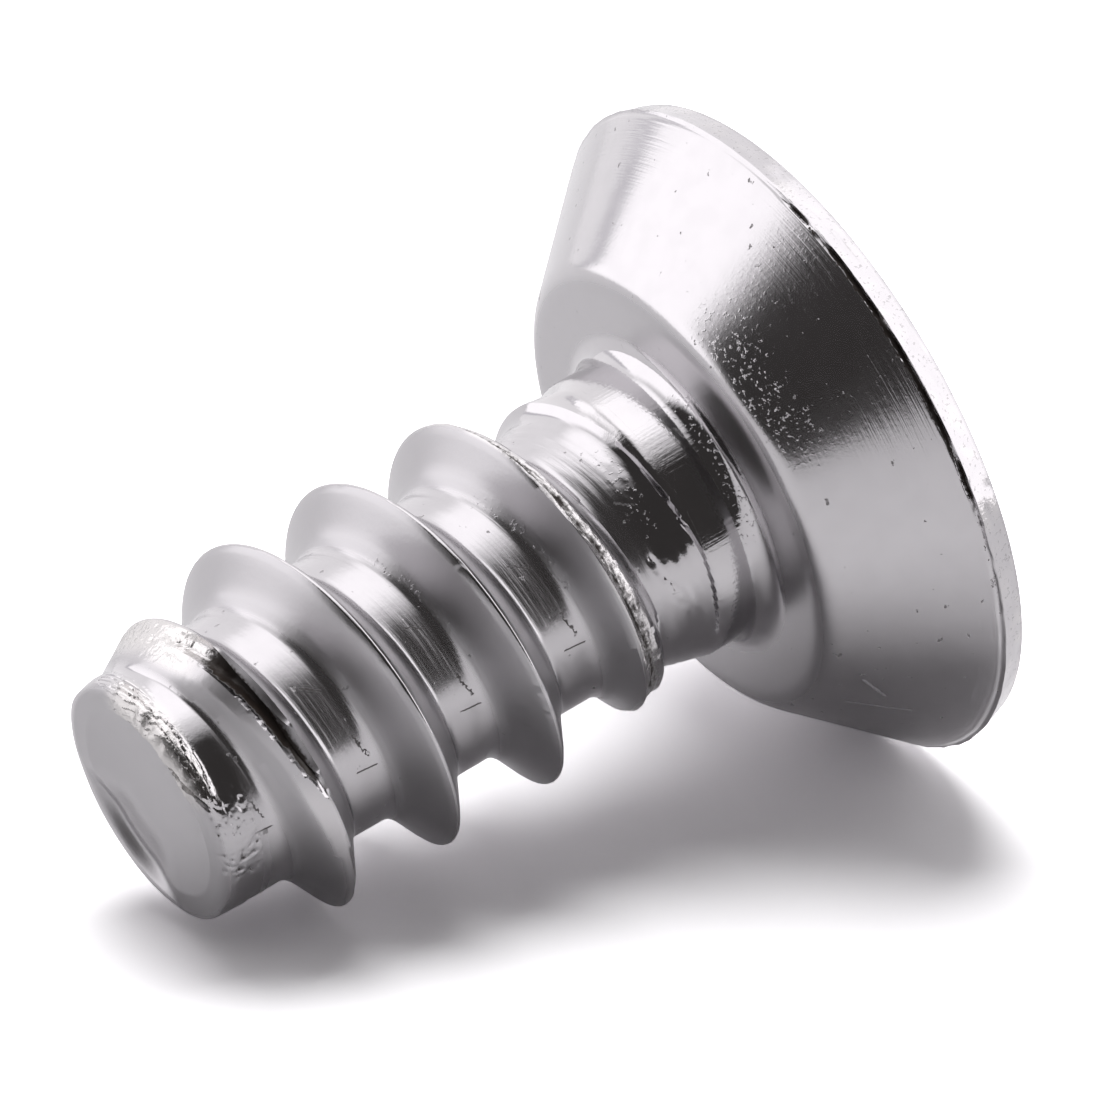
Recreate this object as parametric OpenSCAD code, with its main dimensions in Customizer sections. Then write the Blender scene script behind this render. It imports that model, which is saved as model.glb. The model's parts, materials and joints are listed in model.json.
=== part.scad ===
// Countersunk self-tapping screw with an undercut flat head, a coarse rolled thread and a blunt end.
// It is drawn along its own axis with the blunt end at the bottom, and then laid on the floor,
// where it rests on the widest edge of its head and on the first full turn of its thread.

/* [Overall] */
// Length from the blunt end to the top of the head
length = 9; // [8:0.5:16]

/* [Head] */
// Diameter at the widest edge
head_d = 8; // [7.4:0.1:9]
// Height from the flat underside to the top
head_h = 1.8; // [1.6:0.05:2]
// Included angle of the cone
cone_angle = 82; // [78:1:90]
// Height of the rim above the cone
rim_h = 0.29; // [0.15:0.01:0.45]
// How far the rim leans in towards the top, measured on the radius
rim_lean = 0.09; // [0.02:0.01:0.2]
// Radius of the rounded edge between the flat underside and the cone
seat_round = 0.48; // [0.2:0.02:0.6]
// How far the rounded edge is set out, which leaves a faint edge where it meets the cone
seat_edge = 0.02; // [0.01:0.005:0.04]

/* [Neck] */
// Diameter of the plain neck under the head
neck_d = 3.44; // [3.2:0.02:3.8]
// Length of the plain neck
neck_h = 0.6; // [0.4:0.05:2]
// Radius of the fillet between the neck and the head
neck_fillet = 0.25; // [0.1:0.05:0.35]
// Length of the cone between the neck and the core of the thread
neck_cone_h = 1; // [0.6:0.1:1.4]

/* [Thread] */
// Outer diameter over the crests
thread_d = 4.1; // [3.9:0.05:4.4]
// Diameter of the core between the turns
core_d = 2.92; // [2.7:0.02:3.1]
// Distance from one turn to the next
pitch = 1.41; // [1.27:0.01:1.8]
// Width of the flat crest
crest_w = 0.12; // [0.08:0.01:0.2]
// Included angle between the two flanks
flank_angle = 60; // [50:1:64]
// Height of the first full turn above the blunt end, on the side that touches the floor
first_turn_h = 1.53; // [1.45:0.01:2]
// Height over which the thread grows out of the core at the blunt end
start_h = 1.38; // [1:0.01:1.4]
// Length below the neck over which the thread runs out
runout_h = 1.6; // [1.2:0.1:2]
// Part of the run-out in which the crest drops to its low stretch
drop_h = 0.66; // [0.4:0.02:0.8]
// Outer diameter at the beginning of the low stretch
low_crest_d = 3.54; // [3.46:0.02:3.7]

/* [Blunt end] */
// Radius of the rounded edge
nose_round = 0.2; // [0.1:0.02:0.3]
// Diameter of the shallow dish
dish_d = 2.3; // [1.6:0.1:2.3]
// Depth of the shallow dish
dish_depth = 0.14; // [0.06:0.02:0.3]

/* [Drive recess] */
// Size across the wings at the top of the head
recess_d = 4.4; // [3.8:0.1:4.8]
// Depth at the foot of the wings
recess_depth = 1.9; // [1.4:0.1:2.1]
// Size across the wings at their foot
recess_foot_d = 2.5; // [2:0.1:2.5]
// Thickness of a wing
wing_w = 0.86; // [0.7:0.02:1]
// Diameter of the hub between the wings at the top of the head
hub_d = 2.4; // [2:0.1:2.6]
// Diameter of the hub at the foot of the wings
hub_foot_d = 2; // [1.6:0.1:2]
// Height of the pointed bottom under the hub
recess_point_h = 0.36; // [0.1:0.02:0.5]

/* [Hidden] */
$fn = 96;
// Sections of the thread in one turn
turn_steps = 72;
// How deep the thread is rooted in the core, and its ends are sunk into it
root_depth = 0.25;
end_sink = 0.08;
// How far the raw ridge stands above the finished crest
crest_spare = 0.05;
// Extra reach of a cut past the surface that it opens
cut_over = 0.1;
// Turn of the seam of the round body, away from the side that lies on the floor
seam_turn = 180;

head_r = head_d / 2;
neck_r = neck_d / 2;
core_r = core_d / 2;
thread_r = thread_d / 2;

// Heights above the blunt end
rim_z = length - rim_h;
seat_z = length - head_h;
neck_z = seat_z - neck_h;
fade_z = neck_z - runout_h;

// Flat underside: its sharp corner with the cone, and the turn and reach of the rounded edge there
corner_r = head_r - (rim_z - seat_z) * tan(cone_angle / 2);
seat_turn = 90 - cone_angle / 2;
seat_tangent = seat_round * tan(seat_turn / 2);
rim_top_r = head_r - rim_lean;

// Pose on the floor: the slope of the axis, its height at the blunt end, and the middle of the length
touch_z = first_turn_h - crest_w / 2;
tilt = atan((head_r - thread_r) / (rim_z - touch_z));
axis_h = head_r * cos(tilt) - rim_z * sin(tilt);
low_x = nose_round * (cos(tilt) - 1) - (core_r - nose_round) * sin(tilt);
high_x = length * cos(tilt) + rim_top_r * sin(tilt);
middle_x = (low_x + high_x) / 2;

// Half of the core, neck and head as a flat profile, with the radius along X and the axis along Y
module body_profile() {
    difference() {
        union() {
            polygon([
                [0, 0],
                [core_r, 0],
                [core_r, neck_z - neck_cone_h],
                [neck_r, neck_z],
                [neck_r, seat_z],
                [corner_r, seat_z],
                [head_r, rim_z],
                [rim_top_r, length],
                [0, length]
            ]);
            neck_fillet_profile();
        }
        seat_edge_waste();
        nose_waste();
    }
}

// Filled corner between the neck and the flat underside of the head
module neck_fillet_profile() {
    difference() {
        translate([neck_r - cut_over, seat_z - neck_fillet])
            square([neck_fillet + cut_over, neck_fillet + cut_over]);
        translate([neck_r + neck_fillet, seat_z - neck_fillet])
            circle(r = neck_fillet);
    }
}

// What the rounded edge takes off the corner between the flat underside and the cone
module seat_edge_waste() {
    centre = [corner_r - seat_tangent + seat_edge, seat_z + seat_round];
    difference() {
        translate([centre.x, seat_z - cut_over])
            square([head_r - centre.x, cut_over + seat_tangent * sin(seat_turn)]);
        circle_at(centre, seat_round);
    }
}

// What the rounded edge takes off the corner of the blunt end
module nose_waste() {
    centre = [core_r - nose_round, nose_round];
    difference() {
        translate([centre.x, -cut_over])
            square([nose_round + cut_over, nose_round + cut_over]);
        circle_at(centre, nose_round);
    }
}

module circle_at(centre, radius) {
    translate(centre)
        circle(r = radius);
}

// Limits of the thread: it grows at the blunt end, holds its diameter and runs out below the neck
module thread_limit_profile() {
    polygon([
        [0, nose_round],
        [core_r - end_sink, nose_round],
        [thread_r, start_h],
        [thread_r, fade_z],
        [low_crest_d / 2, fade_z + drop_h],
        [neck_r - end_sink, neck_z],
        [0, neck_z]
    ]);
}

// Section of the raw ridge: radius and height of its four corners
foot_r = core_r - root_depth;
top_r = thread_r + crest_spare;
function half_w(radius) = crest_w / 2 + (thread_r - radius) * tan(flank_angle / 2);
ridge_section = [
    [foot_r, -half_w(foot_r)],
    [top_r, -half_w(top_r)],
    [top_r, half_w(top_r)],
    [foot_r, half_w(foot_r)]
];
corners = len(ridge_section);

// Turns of the raw ridge, counted from the turn that touches the floor, past both limits
first_step = floor((nose_round - half_w(foot_r) - first_turn_h) / pitch * turn_steps) - 1;
last_step = ceil((neck_z + half_w(foot_r) - first_turn_h) / pitch * turn_steps) + 1;
steps = last_step - first_step;

function ridge_point(step, corner) =
    let (turn = (first_step + step) / turn_steps)
    [
        corner[0] * cos(turn * 360),
        corner[0] * sin(turn * 360),
        first_turn_h + pitch * turn + corner[1]
    ];

// Right-handed ridge, swept turn by turn
module raw_ridge() {
    points = [for (step = [0:steps], corner = ridge_section) ridge_point(step, corner)];
    sides = [
        for (step = [0:steps - 1], c = [0:corners - 1])
            let (here = step * corners, next = here + corners, d = (c + 1) % corners)
            each [[here + c, here + d, next + d], [here + c, next + d, next + c]]
    ];
    first_cap = [for (c = [corners - 1:-1:0]) c];
    last_cap = [for (c = [0:corners - 1]) steps * corners + c];
    polyhedron(points, concat(sides, [first_cap, last_cap]));
}

module thread() {
    intersection() {
        raw_ridge();
        rotate_extrude()
            thread_limit_profile();
    }
}

// Shallow dish in the blunt end, a part of a large ball
module dish() {
    ball_r = (pow(dish_d / 2, 2) + pow(dish_depth, 2)) / (2 * dish_depth);
    translate([0, 0, dish_depth - ball_r])
        sphere(r = ball_r);
}

// Plain cross recess: four tapered wings round a tapered hub
module drive_recess() {
    wing_slope = (recess_d - recess_foot_d) / 2 / recess_depth;
    mouth_r = recess_d / 2 + wing_slope * cut_over;
    hub_slope = (hub_d - hub_foot_d) / 2 / recess_depth;
    translate([0, 0, length]) {
        for (turn = [0, 90])
            rotate([90, 0, turn])
                linear_extrude(height = wing_w, center = true)
                    polygon([
                        [-mouth_r, cut_over],
                        [-recess_foot_d / 2, -recess_depth],
                        [recess_foot_d / 2, -recess_depth],
                        [mouth_r, cut_over]
                    ]);
        translate([0, 0, -recess_depth])
            cylinder(
                h = recess_depth + cut_over,
                r1 = hub_foot_d / 2,
                r2 = hub_d / 2 + hub_slope * cut_over
            );
        translate([0, 0, -recess_depth - recess_point_h])
            cylinder(h = recess_point_h, r1 = 0, r2 = hub_foot_d / 2);
    }
}

module upright_screw() {
    difference() {
        union() {
            rotate([0, 0, seam_turn])
                rotate_extrude()
                    body_profile();
            thread();
        }
        dish();
        drive_recess();
    }
}

module screw() {
    color([0.74, 0.74, 0.76])
        translate([-middle_x, 0, axis_h])
            rotate([0, 90 - tilt, 0])
                upright_screw();
}

screw();
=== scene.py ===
# %% [markdown]
# # A countersunk self-tapping screw
# The part is one small steel screw that lies on a pale floor, on the edge of its head and on its
# first turn of thread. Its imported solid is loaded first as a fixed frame. The lesson then models
# the same screw again as one fine mesh, with the marks that rolling and use have left on it.

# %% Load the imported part
import json
import math

import bpy
import numpy as np
from mathutils import Matrix, Vector, noise

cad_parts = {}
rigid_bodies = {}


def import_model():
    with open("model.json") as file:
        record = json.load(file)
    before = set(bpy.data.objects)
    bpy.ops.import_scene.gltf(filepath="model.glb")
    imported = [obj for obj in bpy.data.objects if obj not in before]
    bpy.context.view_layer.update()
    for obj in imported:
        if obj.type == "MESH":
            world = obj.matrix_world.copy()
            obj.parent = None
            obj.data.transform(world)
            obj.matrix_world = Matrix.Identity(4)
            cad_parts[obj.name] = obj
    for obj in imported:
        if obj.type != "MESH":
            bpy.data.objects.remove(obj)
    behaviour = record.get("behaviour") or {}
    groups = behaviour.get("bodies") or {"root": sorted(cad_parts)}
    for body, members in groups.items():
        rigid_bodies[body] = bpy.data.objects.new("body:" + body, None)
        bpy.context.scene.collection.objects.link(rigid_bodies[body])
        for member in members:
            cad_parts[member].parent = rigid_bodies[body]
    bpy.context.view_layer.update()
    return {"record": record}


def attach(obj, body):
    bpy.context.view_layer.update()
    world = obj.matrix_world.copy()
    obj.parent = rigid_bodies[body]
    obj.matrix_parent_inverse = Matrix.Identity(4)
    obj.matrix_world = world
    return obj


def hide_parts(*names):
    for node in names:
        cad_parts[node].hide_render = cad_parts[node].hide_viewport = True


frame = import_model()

# %% [markdown]
# ## Where the screw lies
# A turned part is easiest to model upright, with its axis on Z and millimetres as units, and to lay
# down at the end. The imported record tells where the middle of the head's top is and which way the
# axis points, so the pose comes from there and nothing has to be fitted by eye.

# %% Axis, blunt end and lean of the lying screw
MM = 0.001
length = 9.0

mounts = {mount["name"]: mount for mount in frame["record"]["mounts"]}
axis = Vector(mounts["drive_recess"]["axis"]).normalized()
head_middle = Vector(mounts["drive_recess"]["pos_m"])
blunt_end = head_middle - axis * length * MM
lean = math.atan2(axis.x, axis.z)
lay_down = (
    Matrix.Translation(blunt_end)
    @ Matrix.Rotation(lean, 4, "Y")
    @ Matrix.Scale(MM, 4)
)
print("blunt end at", [round(1000 * c, 3) for c in blunt_end], "mm, leaning", round(math.degrees(lean), 2))

# %% [markdown]
# ## Camera
# The picture was taken with a long lens from a little above, so the screw is hardly
# foreshortened. The camera is placed by its azimuth and elevation round an aim point near the
# middle of the screw. A square picture of the sensor's width needs no shift.

# %% Camera
view_azimuth = math.radians(-34.01)
view_elevation = math.radians(25.72)
view_distance = 168.8 * MM
view_lens = 500.6
aim = Vector((1.132, 0.847, 2.770)) * MM

to_camera = Vector((
    math.sin(view_azimuth) * math.cos(view_elevation),
    -math.cos(view_azimuth) * math.cos(view_elevation),
    math.sin(view_elevation),
))
camera_data = bpy.data.cameras.new("camera")
camera_data.lens = view_lens
camera_data.sensor_width = 36
camera_data.clip_start = 0.01
camera = bpy.data.objects.new("camera", camera_data)
camera.location = aim + to_camera * view_distance
camera.rotation_euler = to_camera.to_track_quat("Z", "Y").to_euler()
bpy.context.scene.collection.objects.link(camera)
bpy.context.scene.camera = camera
print("camera at", [round(c, 4) for c in camera.location])

# %% [markdown]
# ## Sizes
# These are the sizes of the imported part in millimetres. Only the thread's crest is a little sharper,
# on flanks with the same feet, because its flat would show as a dark band. The thread is cut here
# into many more faces than the solid has: bright metal shows a flat facet as a broken highlight.

# %% Sizes of the screw
head_r = 4.0
head_h = 1.8
cone_half_angle = math.radians(41)
rim_h = 0.29
rim_lean = 0.09
seat_round = 0.48
neck_r = 1.72
neck_h = 0.6
neck_fillet = 0.25
thread_r = 2.05
core_r = 1.46
pitch = 1.41
crest_w = 0.05
flank_slope = 0.635
first_turn_h = 1.53
nose_round = 0.2
dish_r = 1.15
dish_depth = 0.14

rim_z = length - rim_h
seat_z = length - head_h
neck_z = seat_z - neck_h
columns = 240
print("turns of thread:", round((neck_z - nose_round) / pitch, 1))

# %% [markdown]
# ## Drawing and turning an outline
# Every part of a screw is an outline turned round its axis. An outline is drawn as by hand: a
# plane is merged to one vertex, the vertex is moved to the first point and extruded on to the
# next ones. The Screw modifier then turns it, with a rise for a thread and without one for a head.

# %% Helpers for outlines
def start_clean():
    """Nothing selected, and object mode."""
    if bpy.context.mode != "OBJECT":
        bpy.ops.object.mode_set(mode="OBJECT")
    bpy.ops.object.select_all(action="DESELECT")


def draw_outline(name, points):
    """A chain of edges through points, each a radius and a height."""
    start_clean()
    bpy.ops.mesh.primitive_plane_add(size=1, location=(0, 0, 0))
    outline = bpy.context.object
    outline.name = name
    bpy.ops.object.mode_set(mode="EDIT")
    bpy.ops.mesh.select_all(action="SELECT")
    bpy.ops.mesh.merge(type="CENTER")
    here = (0.0, 0.0)
    for number, (radius, height) in enumerate(points):
        step = (radius - here[0], 0, height - here[1])
        if number == 0:
            bpy.ops.transform.translate(value=step)
        else:
            bpy.ops.mesh.extrude_region_move(TRANSFORM_OT_translate={"value": step})
        here = (radius, height)
    bpy.ops.object.mode_set(mode="OBJECT")
    return outline


def turn_outline(outline, rise=0.0, turns=1):
    """The outline turned round Z in as many columns as the whole screw has."""
    turning = outline.modifiers.new("turning", "SCREW")
    turning.axis = "Z"
    turning.angle = 2 * math.pi
    turning.screw_offset = rise
    turning.iterations = turns
    turning.steps = columns
    turning.render_steps = columns
    bpy.ops.object.modifier_apply(modifier=turning.name)
    print(outline.name, "turned:", len(outline.data.polygons), "faces")


def merge_doubles(piece, distance=0.002):
    """Points that lie on each other become one."""
    bpy.context.view_layer.objects.active = piece
    bpy.ops.object.mode_set(mode="EDIT")
    bpy.ops.mesh.select_all(action="SELECT")
    bpy.ops.mesh.remove_doubles(threshold=distance)
    bpy.ops.object.mode_set(mode="OBJECT")


def line(start, end, count):
    """Points from start to end, with start left out."""
    start, end = np.array(start), np.array(end)
    return [tuple(start + (end - start) * k / count) for k in range(1, count + 1)]


def arc(centre, radius, first, last, count):
    """Points along a part of a circle, with the first left out. Angles in degrees."""
    angles = [math.radians(first + (last - first) * k / count) for k in range(1, count + 1)]
    return [(centre[0] + radius * math.cos(a), centre[1] + radius * math.sin(a)) for a in angles]


# %% [markdown]
# ## Thread
# The thread is one ridge that is rolled out of the wire, so its rows of faces should follow the
# ridge. One pitch of it is drawn as an outline and turned with a rise of one pitch in each turn.
# The rows then run along the crest like the lines on the real screw, and the crest stays crisp.

# %% One pitch of thread, turned
root_rows = 9
flank_rows = 7
crest_rows = 4
thread_turns = 7
foot_half_w = crest_w / 2 + (thread_r - core_r) * flank_slope
lowest_crest_z = first_turn_h - 2 * pitch

ridge = [(core_r, -pitch / 2)]
ridge += line(ridge[-1], (core_r, -foot_half_w), root_rows)
ridge += line(ridge[-1], (thread_r, -crest_w / 2), flank_rows)
ridge += line(ridge[-1], (thread_r, crest_w / 2), crest_rows)
ridge += line(ridge[-1], (core_r, foot_half_w), flank_rows)
ridge += line(ridge[-1], (core_r, pitch / 2), root_rows)
ridge = [(radius, height + lowest_crest_z) for radius, height in ridge]

screw = draw_outline("screw_body", ridge)
turn_outline(screw, rise=pitch, turns=thread_turns)

# %% [markdown]
# ## Ends of the thread
# The turned ridge is longer than the shank, and its ends are steps. All points beyond the two end
# heights are scaled flat onto them, which is a handy way to trim a helix: the rows
# that have lost their height vanish when doubles are merged, and a clean ring is left.

# %% Helpers for points
def points_of(piece):
    """All points of a mesh as an array."""
    flat = np.empty(3 * len(piece.data.vertices))
    piece.data.vertices.foreach_get("co", flat)
    return flat.reshape(-1, 3)


def set_points(piece, points):
    piece.data.vertices.foreach_set("co", points.ravel())
    piece.data.update()


def select_only(piece, mode, wanted):
    """Edit mode with only the wanted points, edges or faces selected, given as an array of truth values."""
    start_clean()
    bpy.context.view_layer.objects.active = piece
    piece.select_set(True)
    bpy.ops.object.mode_set(mode="EDIT")
    bpy.ops.mesh.select_mode(type=mode)
    bpy.ops.mesh.select_all(action="DESELECT")
    bpy.ops.object.mode_set(mode="OBJECT")
    elements = {"VERT": piece.data.vertices, "EDGE": piece.data.edges, "FACE": piece.data.polygons}[mode]
    elements.foreach_set("select", wanted)
    bpy.ops.object.mode_set(mode="EDIT")


def flatten_beyond(piece, height, side):
    """Scales the points above (side 1) or below (side -1) a height flat onto it."""
    select_only(piece, "VERT", (points_of(piece)[:, 2] - height) * side > -trim_reach)
    bpy.ops.transform.resize(value=(1, 1, 0), center_override=(0, 0, height))
    bpy.ops.object.mode_set(mode="OBJECT")


# %% Trim the thread
trim_reach = 0.012
shank_low = 0.26
shank_high = seat_z - neck_fillet
flatten_beyond(screw, shank_low, -1)
flatten_beyond(screw, shank_high, 1)
heights = points_of(screw)[:, 2]
print("thread from", round(heights.min(), 3), "to", round(heights.max(), 3))

# %% [markdown]
# ## How the thread starts and runs out
# A rolled thread grows out of the core at the blunt end and fades below the neck, where the
# rolling dies leave a low stretch. That is no tool of Blender's, so the radius of each point is
# worked out from its angle and height.

# %% Helpers for shapes
def soft_min(a, b, reach):
    """The smaller of two values, with a rounded corner where they meet."""
    share = np.clip(0.5 + 0.5 * (b - a) / reach, 0, 1)
    return b + (a - b) * share - reach * share * (1 - share)


def soft_max(a, b, reach):
    return -soft_min(-np.asarray(a), -np.asarray(b), reach)


def ramp(low, high, value):
    """0 below low, 1 above high, and smooth between."""
    share = np.clip((value - low) / (high - low), 0, 1)
    return share * share * (3 - 2 * share)


def window(value, begin, full, fade, end):
    """1 between full and fade, 0 before begin and after end."""
    return ramp(begin, full, value) * (1 - ramp(fade, end, value))


def around(points):
    """Radius, angle and height of each point."""
    angle = np.arctan2(points[:, 1], points[:, 0]) % (2 * math.pi)
    return np.hypot(points[:, 0], points[:, 1]), angle, points[:, 2]


def along_thread(angle, height):
    """Distance from the middle of the nearest crest along the axis, and the turn it is on."""
    turn = (height - first_turn_h) / pitch - angle / (2 * math.pi)
    nearest = np.round(turn)
    return (turn - nearest) * pitch, nearest + angle / (2 * math.pi)


# %% Shape of the shank
crest_round = 0.04
root_round = [0.2, 0.1]
grow_z = [0.2, 1.38, 5.0, 5.66, 6.6]
grow_r = [1.38, thread_r, thread_r, 1.77, 1.64]
neck_cone_h = 1.0


def crest_limit(height):
    """Radius that the crest may reach at a height."""
    return np.interp(height, grow_z, grow_r)


def core_radius(height):
    """Radius of the core, which widens to the neck."""
    return np.interp(height, [neck_z - neck_cone_h, neck_z], [core_r, neck_r])


def shank_radius(angle, height):
    offset, turn = along_thread(angle, height)
    flank = thread_r - (np.abs(offset) - crest_w / 2) / flank_slope
    crest = soft_min(flank, crest_limit(height), crest_round)
    core = core_radius(height)
    rounding = 0.03 + np.where(offset < 0, *root_round) * window(height, 0.4, 1.0, 5.2, 5.8)
    formed = soft_max(crest, core, rounding)
    plain = ramp(shank_high - 0.15, shank_high, height) + ramp(shank_low + 0.1, shank_low, height)
    return formed + (core - formed) * np.clip(plain, 0, 1)


points = points_of(screw)
_, angle, height = around(points)
radius = shank_radius(angle, height)
set_points(screw, np.stack([radius * np.cos(angle), radius * np.sin(angle), height], 1))
merge_doubles(screw)
print("shank:", len(screw.data.polygons), "faces")

# %% [markdown]
# ## Head and blunt end
# Both are plain turned shapes. Their outlines begin on the rings where the shank ends, with the
# same number of columns, so joining the three and merging doubles closes the body. Rows are
# closer together where the real surface is torn or folded, because that is shaped later on.

# %% Head
corner_r = head_r - (rim_z - seat_z) * math.tan(cone_half_angle)
seat_turn = 90 - math.degrees(cone_half_angle)
seat_start_r = corner_r - seat_round * math.tan(math.radians(seat_turn / 2))
rim_top_r = head_r - rim_lean
torn_edge_h = 0.11
top_edge_w = 0.06

head_outline = [(neck_r, shank_high)]
head_outline += arc((neck_r + neck_fillet, shank_high), neck_fillet, 180, 90, 8)
head_outline += line(head_outline[-1], (seat_start_r, seat_z), 10)
head_outline += arc((seat_start_r, seat_z + seat_round), seat_round, -90, seat_turn - 90, 8)
torn_edge = (head_r - torn_edge_h * math.tan(cone_half_angle), rim_z - torn_edge_h)
head_outline += line(head_outline[-1], torn_edge, 18)
head_outline += line(head_outline[-1], (head_r, rim_z), 9)
head_outline += line(head_outline[-1], (rim_top_r, length), 7)
head_outline += line(head_outline[-1], (rim_top_r - top_edge_w, length), 2)
head_outline += line(head_outline[-1], (0, length), 2)
head = draw_outline("head", head_outline)
turn_outline(head)
merge_doubles(head)

# %% Blunt end
ball_r = (dish_r**2 + dish_depth**2) / (2 * dish_depth)
rim_angle = math.degrees(math.asin(dish_r / ball_r))
nose_outline = [(0, dish_depth)]
nose_outline += arc((0, dish_depth - ball_r), ball_r, 90, 90 - rim_angle * 0.8, 10)
nose_outline += arc((0, dish_depth - ball_r), ball_r, 90 - rim_angle * 0.8, 90 - rim_angle, 8)
nose_outline += line(nose_outline[-1], (core_r - nose_round, 0), 4)
nose_outline += arc((core_r - nose_round, nose_round), nose_round, -90, 0, 14)
nose_outline += line(nose_outline[-1], (core_r, shank_low), 3)
nose = draw_outline("nose", nose_outline)
turn_outline(nose)
merge_doubles(nose)

# %% Join the three into one body
def count_open_edges(piece):
    """Edges that don't have exactly two faces."""
    uses = {}
    for face in piece.data.polygons:
        for key in face.edge_keys:
            uses[key] = uses.get(key, 0) + 1
    return sum(1 for count in uses.values() if count != 2)


start_clean()
for part in (head, nose, screw):
    part.select_set(True)
bpy.context.view_layer.objects.active = screw
bpy.ops.object.join()
merge_doubles(screw)
bpy.ops.object.mode_set(mode="EDIT")
bpy.ops.mesh.select_all(action="SELECT")
bpy.ops.mesh.normals_make_consistent(inside=False)
bpy.ops.object.mode_set(mode="OBJECT")
print("body:", len(screw.data.vertices), "points,", count_open_edges(screw), "open edges")

# %% [markdown]
# ## Drive recess
# The top of the head has a plain cross recess. A cutter of its form is made from a cube whose four
# sides are pulled out into wings, and from a cone with a pointed bottom between them. The Boolean
# modifier takes it out of the closed body. At last the sharp mouth is rounded a little, as on any
# pressed recess.

# %% Wings of the cutter
recess_r = 2.2
recess_foot_r = 1.25
recess_depth = 1.9
wing_w = 0.86
wing_round = 0.1
cut_over = 0.1
cutter_h = recess_depth + cut_over
cutter_middle = (0, 0, length + cut_over - cutter_h / 2)
wing_top_r = recess_r + (recess_r - recess_foot_r) / recess_depth * cut_over


def face_places(piece):
    """Middle and normal of each face."""
    middles = np.array([face.center for face in piece.data.polygons])
    normals = np.array([face.normal for face in piece.data.polygons])
    return middles, normals


start_clean()
bpy.ops.mesh.primitive_cube_add(size=1, location=cutter_middle)
cutter = bpy.context.object
cutter.name = "recess_cutter"
bpy.ops.transform.resize(value=(wing_w, wing_w, cutter_h))
bpy.ops.object.transform_apply(location=True, rotation=True, scale=True)
for side in ((1, 0, 0), (-1, 0, 0), (0, 1, 0), (0, -1, 0)):
    side = np.array(side)
    middles, normals = face_places(cutter)
    in_line = np.abs(np.cross(middles, side)[:, 2]) < 0.01
    select_only(cutter, "FACE", (normals @ side > 0.9) & in_line)
    pull = side * (wing_top_r - wing_w / 2)
    bpy.ops.mesh.extrude_region_move(TRANSFORM_OT_translate={"value": pull})
    bpy.ops.object.mode_set(mode="OBJECT")
    places = points_of(cutter)
    select_only(cutter, "VERT", (places @ side > wing_top_r - 0.01) & (places[:, 2] < cutter_middle[2]))
    bpy.ops.transform.translate(value=side * (recess_foot_r - wing_top_r))
    bpy.ops.object.mode_set(mode="OBJECT")
rounding = cutter.modifiers.new("rounding", "BEVEL")
rounding.width = wing_round
rounding.segments = 4
rounding.limit_method = "ANGLE"
rounding.angle_limit = math.radians(40)
bpy.ops.object.modifier_apply(modifier=rounding.name)
print("wings:", len(cutter.data.polygons), "faces")

# %% Hub of the cutter
hub_r = 1.2
hub_foot_r = 1.0
point_h = 0.36


def combine_with(piece, other, operation):
    """Boolean of two pieces, which leaves the first."""
    start_clean()
    bpy.context.view_layer.objects.active = piece
    piece.select_set(True)
    boolean = piece.modifiers.new("boolean", "BOOLEAN")
    boolean.operation = operation
    boolean.solver = "EXACT"
    boolean.object = other
    bpy.ops.object.modifier_apply(modifier=boolean.name)
    bpy.data.objects.remove(other)


start_clean()
bpy.ops.mesh.primitive_cone_add(
    vertices=96, radius1=hub_foot_r, radius2=hub_r, depth=cutter_h, location=cutter_middle
)
hub = bpy.context.object
bpy.ops.object.transform_apply(location=True, rotation=True, scale=True)
select_only(hub, "FACE", face_places(hub)[1][:, 2] < -0.9)
bpy.ops.mesh.extrude_region_move(TRANSFORM_OT_translate={"value": (0, 0, -point_h)})
bpy.ops.mesh.merge(type="CENTER")
bpy.ops.object.mode_set(mode="OBJECT")
combine_with(cutter, hub, "UNION")
print("cutter:", len(cutter.data.polygons), "faces")

# %% Take the recess out of the body
combine_with(screw, cutter, "DIFFERENCE")
print("body with recess:", len(screw.data.polygons), "faces,", count_open_edges(screw), "open edges")

# %% Round the mouth of the recess
mouth_round = 0.035
on_top = length - 0.001

middles, _ = face_places(screw)
flat_r = rim_top_r - top_edge_w - 0.01
inner_top = (middles[:, 2] > on_top) & (np.hypot(middles[:, 0], middles[:, 1]) < flat_r)
select_only(screw, "FACE", inner_top)
bpy.ops.mesh.dissolve_limited(angle_limit=math.radians(0.5))
bpy.ops.mesh.select_mode(type="EDGE")
bpy.ops.mesh.select_all(action="DESELECT")
bpy.ops.mesh.edges_select_sharp(sharpness=math.radians(40))
bpy.ops.object.mode_set(mode="OBJECT")
places = points_of(screw)
at_mouth = (places[:, 2] > on_top) & (np.hypot(places[:, 0], places[:, 1]) < wing_top_r)
mouth_edges = [edge.select and all(at_mouth[point] for point in edge.vertices) for edge in screw.data.edges]
select_only(screw, "EDGE", mouth_edges)
bpy.ops.mesh.bevel(offset=mouth_round, segments=3, affect="EDGES")
bpy.ops.object.mode_set(mode="OBJECT")
print(sum(mouth_edges), "edges round the mouth,", count_open_edges(screw), "open edges")

# %% [markdown]
# ## Marks of rolling and use
# Real screws are rolled, not turned, so metal is folded over the blunt end, the crest of the first
# turn doesn't close, and the edge of the head is torn. These are real shapes and not only shading,
# so the points are lifted along their normals, as with a sculpting brush but by rule. The faces there
# are subdivided first, and each mark is a short function that returns its lift in millimetres.

# %% Finer faces where the metal is torn
def where_on_thread(places):
    radius, angle, height = around(places)
    return (radius, np.degrees(angle), height) + along_thread(angle, height)


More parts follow.
